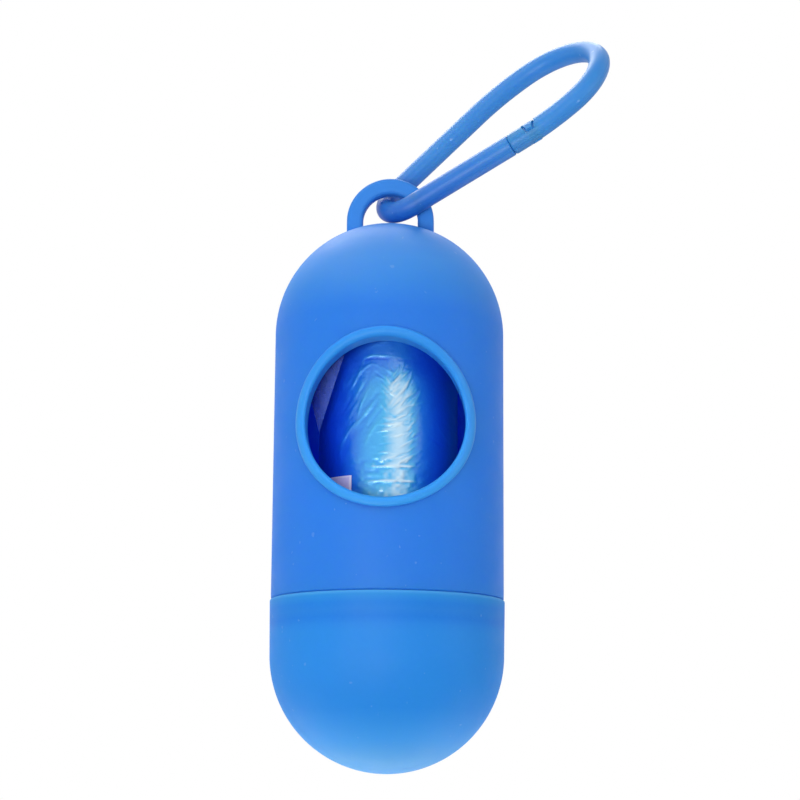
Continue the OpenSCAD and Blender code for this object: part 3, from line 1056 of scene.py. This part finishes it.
def loose_bands(around, height, slack):
    """How pale the film is painted in bands round the roll: painted highlight at the front, and the
    same pale look repeated round the sides and back. Above the upper fold they are faint, as
    painted shadow of the window's upper rim.
    """
    bands = 0
    for place, half, milky in MILK_AND_HIGHLIGHT_BANDS:
        apart = (around - place + HALF_ROUND) % (2 * HALF_ROUND) - HALF_ROUND
        bands = bands + milky * bell(apart, half)
    out_of_rim_shadow = 0.3 + 0.7 * fade(height, UPPER_FOLD - 0.5, UPPER_FOLD - 6.0)
    return bands * (1 + 0.15 * slack) * out_of_rim_shadow


def film_shape(around, height):
    """How far the film stands out at each place and how pale it is painted there, as milky film and
    painted highlight, both from 0 to 1.
    """
    random = np.random.default_rng(SEED)
    slack = drift(random, around, height, 7.0, 9.0)
    finer = drift(random, around, height, 0.8, 0.5)
    arms, streaks = fern(random, around, height)
    elsewhere = creases_elsewhere(random, around, height)
    mottle = mottling(random, around, height)
    folds = lower_folds(random, around, height)
    upper = upper_fold(random, around, height)
    arc = dimple_edge(around, height)
    bands = loose_bands(around, height, slack)

    creased = (ARM_LIFT * arms + STREAK_LIFT * streaks + ELSEWHERE_LIFT * elsewhere
               + MOTTLE_LIFT * mottle)
    shaped = (REST_LIFT + SLACK_LIFT * slack + FINE_LIFT * finer + creased + FOLD_LIFT * folds
              + UPPER_LIFT * upper + ARC_LIFT * arc)
    # How pale the film is painted: painted highlight on the front bands, crests and folds, and
    # partly milky film.
    loose = (bands + CREASE_PALING * creased * (0.25 + bands) + FOLD_PALING * bands * folds
             + UPPER_PALING * upper + ARC_PALING * arc)
    return np.clip(shaped, 0.0, 1.0), np.clip(loose, 0.0, 1.0)


def make_outer_film():
    """Tube of wrinkled film. Only its outer face is wrinkled, and its ends show its thickness."""
    arc, back = FILM_FRONT * ROLL_R, HALF_ROUND
    around = steps_between([(-back, -arc, FILM_STEP_COARSE), (-arc, arc, FILM_STEP),
                            (arc, back, FILM_STEP_COARSE)])
    heights = steps_between([(ROLL_LOW_Z, FILM_SHOWN[0], FILM_STEP_COARSE),
                             (FILM_SHOWN[0], FILM_SHOWN[1], FILM_STEP)])
    heights = np.append(heights, ROLL_TOP_Z)
    grid_u, grid_z = np.meshgrid(around, heights)
    shaped, loose = film_shape(grid_u, grid_z)
    outer = ROLL_R - FILM_DEPTH * (1 - shaped)
    inner = np.full((1, len(around)), INNER_FILM_R)
    radii = np.vstack([inner, outer, inner])
    levels = np.vstack([grid_z[:1], grid_z, grid_z[-1:]])
    turned = np.vstack([grid_u[:1], grid_u, grid_u[-1:]]) / ROLL_R
    verts = np.stack([radii * np.sin(turned), -radii * np.cos(turned), levels], -1).reshape(-1, 3)
    rows, columns = radii.shape
    film_tube = new_object("outer_film", verts.tolist(),
                           grid_faces(rows, columns, close_rows=True))
    # The film's pale paint, milky film and painted highlight, is stored on its points.
    looseness = film_tube.data.attributes.new("loose", "FLOAT", "POINT")
    looseness.data.foreach_set("value", np.vstack([loose[:1], loose, loose[-1:]]).ravel())
    tidy_mesh(film_tube, sharp=FILM_SHARP)
    finish_piece(film_tube, "bag_01", "roll", film)


make_outer_film()
for index in range(2, BAG_COUNT + 1):
    paint(f"bag_{index:02d}", wound_film)
paint("bag_loose_end", clear_film)
paint("roll_core", card)
paint("roll_label", paper)


# ---- Studio --------------------------------------------------------------------------------------

FLOOR_Z = -158.0
FLOOR_REACH = 4000.0
FLOOR_SEEN = 0.42
FLOOR_GLOW = 0.5
FLOOR_LIT = 0.5
FLOOR_ROUGHNESS = 0.9
WHITE = (1, 1, 1, 1)
WORLD_SEEN = 1.0
WORLD_FILL = 0.42
# Softboxes: name, place, target, size and power
LIGHTS = (
    ("key", (-220, -220, 400), (0, 0, -30), (420, 260), 0.92),
    ("front", (150, -400, 110), (0, 0, -40), (220, 260), 0.32),
    ("low", (-120, -400, -120), (0, 0, -80), (300, 60), 0.97),
    ("left", (-430, -60, -40), (0, 0, -50), (150, 300), 0.14),
    ("right", (430, -160, 60), (0, 0, -40), (200, 300), 0.42),
    ("top", (-60, 280, 360), (0, 0, 0), (360, 200), 1.15),
    ("under", (0, 40, -150), (0, 40, 0), (300, 110), 0.13),
)


def seen_directly(tree):
    """1 for camera, glossy and transmission rays, and 0 for the rays that light the object."""
    path = tree.nodes.new("ShaderNodeLightPath")
    largest = path.outputs["Is Camera Ray"]
    for ray in ("Is Glossy Ray", "Is Transmission Ray"):
        either = tree.nodes.new("ShaderNodeMath")
        either.operation = "MAXIMUM"
        tree.links.new(largest, either.inputs[0])
        tree.links.new(path.outputs[ray], either.inputs[1])
        largest = either.outputs[0]
    return largest


def level_mix(tree, seen, lit):
    """One level where the camera sees the surface, and another where it lights the object."""
    level = tree.nodes.new("ShaderNodeMapRange")
    fill_sockets(level, {"To Min": lit, "To Max": seen})
    tree.links.new(seen_directly(tree), level.inputs["Value"])
    return level.outputs["Result"]


def make_world():
    world = bpy.data.worlds.new("studio")
    bpy.context.scene.world = world
    world.use_nodes = True
    tree = world.node_tree
    background = tree.nodes["Background"]
    tree.links.new(level_mix(tree, WORLD_SEEN, WORLD_FILL), background.inputs["Strength"])
    fill_sockets(background, {"Color": WHITE})


def make_floor():
    """White floor under the capsule. It shows the object's shadow, and as seen it has a glow of
    its own, so that it stays pale far from the lamps."""
    reach = FLOOR_REACH
    corners = [(-reach, -reach, FLOOR_Z), (reach, -reach, FLOOR_Z),
               (reach, reach, FLOOR_Z), (-reach, reach, FLOOR_Z)]
    floor = new_object("floor", corners, [(0, 1, 2, 3)])
    material = bpy.data.materials.new("floor_white")
    material.use_nodes = True
    tree = material.node_tree
    shader = tree.nodes["Principled BSDF"]
    tree.links.new(level_mix(tree, FLOOR_SEEN, FLOOR_LIT), shader.inputs["Base Color"])
    tree.links.new(level_mix(tree, FLOOR_GLOW, 0.0), shader.inputs["Emission Strength"])
    fill_sockets(shader, {"Emission Color": WHITE, "Roughness": FLOOR_ROUGHNESS})
    floor.data.materials.append(material)


def area_light(name, place, target, size, power):
    data = bpy.data.lights.new(name, "AREA")
    data.shape = "RECTANGLE"
    data.size, data.size_y = size[0] * MM, size[1] * MM
    data.energy = power
    light = bpy.data.objects.new(name, data)
    light.visible_camera = False
    aim = (Vector(target) - Vector(place)).to_track_quat("-Z", "Y")
    light.matrix_world = Matrix.Translation(Vector(place) * MM) @ aim.to_matrix().to_4x4()
    bpy.context.scene.collection.objects.link(light)


make_world()
make_floor()
for light in LIGHTS:
    area_light(*light)

bpy.context.scene.view_settings.view_transform = "Standard"
